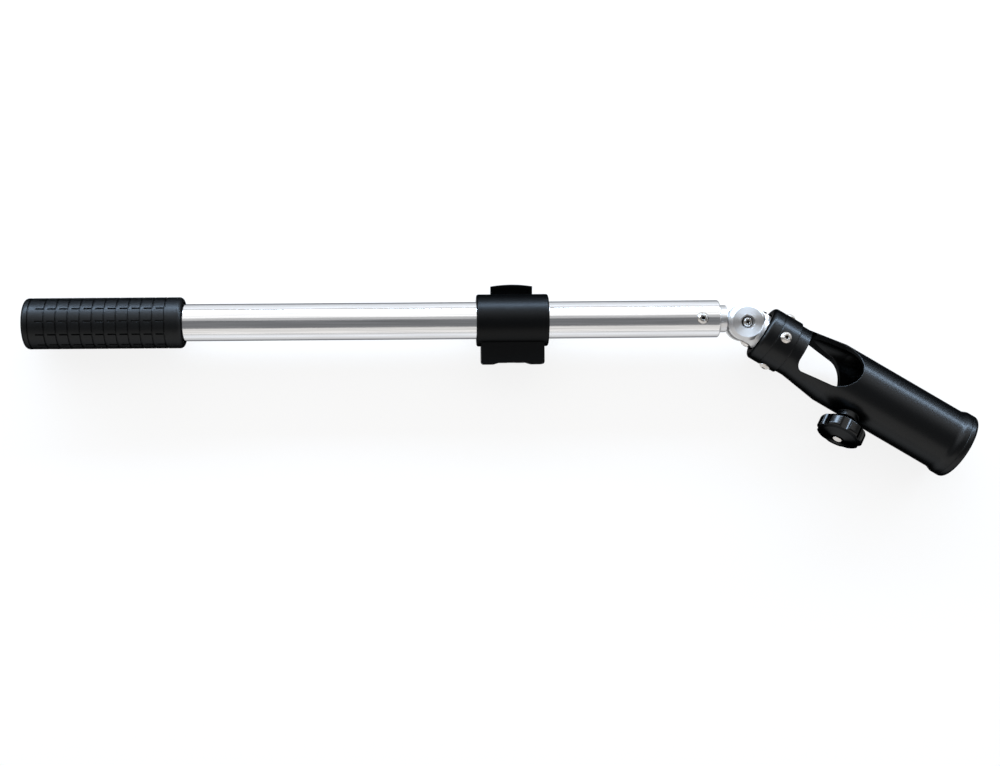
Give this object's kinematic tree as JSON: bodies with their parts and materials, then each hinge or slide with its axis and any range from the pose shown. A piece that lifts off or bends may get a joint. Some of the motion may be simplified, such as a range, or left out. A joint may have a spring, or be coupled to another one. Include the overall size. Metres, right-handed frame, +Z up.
{
  "type": "tiller extension",
  "caption": "Straight tube handle with a ribbed rubber grip and a sliding clamp collar, hinged and swivelling on a socket that clamps over a tiller's grip.",
  "frame": {"origin": "centre of the socket's mouth", "axes": "+X along the handle tube from the grip to the joint, +Y across the tube towards the side that the socket bends away from, +Z up from the surface that it lies on, along the hinge bolt"},
  "size_m": [0.6492, 0.1335, 0.0513],
  "materials": {
    "tube_metal": "satin brushed",
    "grip_rubber": "satin rubber",
    "joint_metal": "turned",
    "screw_steel": "bright stainless",
    "collar_plastic": "satin black",
    "socket_black": "satin black coating",
    "knob_plastic": "semi-gloss black",
    "washer_nylon": "plain",
    "bush_plastic": "plain"
  },
  "bodies": {
    "tube_arm": {"handle_tube": "tube_metal", "grip": "grip_rubber", "hinge_tongue": "joint_metal", "tube_screw": "screw_steel"},
    "collar": {"collar_body": "collar_plastic", "clamp_bolt": "screw_steel"},
    "lever": {"cam_lever": "collar_plastic", "lever_pin": "screw_steel"},
    "fork": {"swivel_fork": "joint_metal", "hinge_bolt": "screw_steel", "hinge_nut": "screw_steel", "hinge_washer_front": "washer_nylon", "hinge_washer_rear": "washer_nylon", "cross_bolt": "screw_steel", "swivel_shaft": "screw_steel"},
    "socket": {"tiller_socket": "socket_black", "swivel_bush": "bush_plastic", "neck_screw_1": "screw_steel", "neck_screw_2": "screw_steel", "neck_screw_3": "screw_steel", "neck_screw_4": "screw_steel"},
    "pad": {"clamp_pad": "bush_plastic"},
    "knob": {"clamp_knob": "knob_plastic", "clamp_screw": "screw_steel"}
  },
  "joints": [
    {"name": "collar_slide", "type": "slide", "parent": "tube_arm", "child": "collar", "axis": [1, 0, 0], "range_m": [-0.195, 0.095]},
    {"name": "lever_hinge", "type": "hinge", "parent": "collar", "child": "lever", "pos_m": [-0.30538, 0.06499, -0.01305], "axis": [-1, 0, 0], "range_deg": [0, 120]},
    {"name": "fork_hinge", "type": "hinge", "parent": "tube_arm", "child": "fork", "pos_m": [-0.14617, 0.08679, 0], "axis": [0, 0, 1], "range_deg": [-34.5, 95.5]},
    {"name": "socket_swivel", "type": "hinge", "parent": "fork", "child": "socket", "pos_m": [-0.12468, 0.07403, 0], "axis": [0.8599, -0.5105, 0], "continuous": true},
    {"name": "pad_slide", "type": "slide", "parent": "socket", "child": "pad", "axis": [0.4798, 0.808, -0.342], "range_m": [0, 0.0026]},
    {"name": "knob_turn", "type": "hinge", "parent": "pad", "child": "knob", "pos_m": [-0.06741, 0.04003, 0], "axis": [0.4798, 0.808, -0.342], "range_deg": [0, 940]}
  ],
  "couplings": [
    {"joint": "knob_turn", "follows": "pad_slide", "rad_per_m": 6283.2}
  ]
}
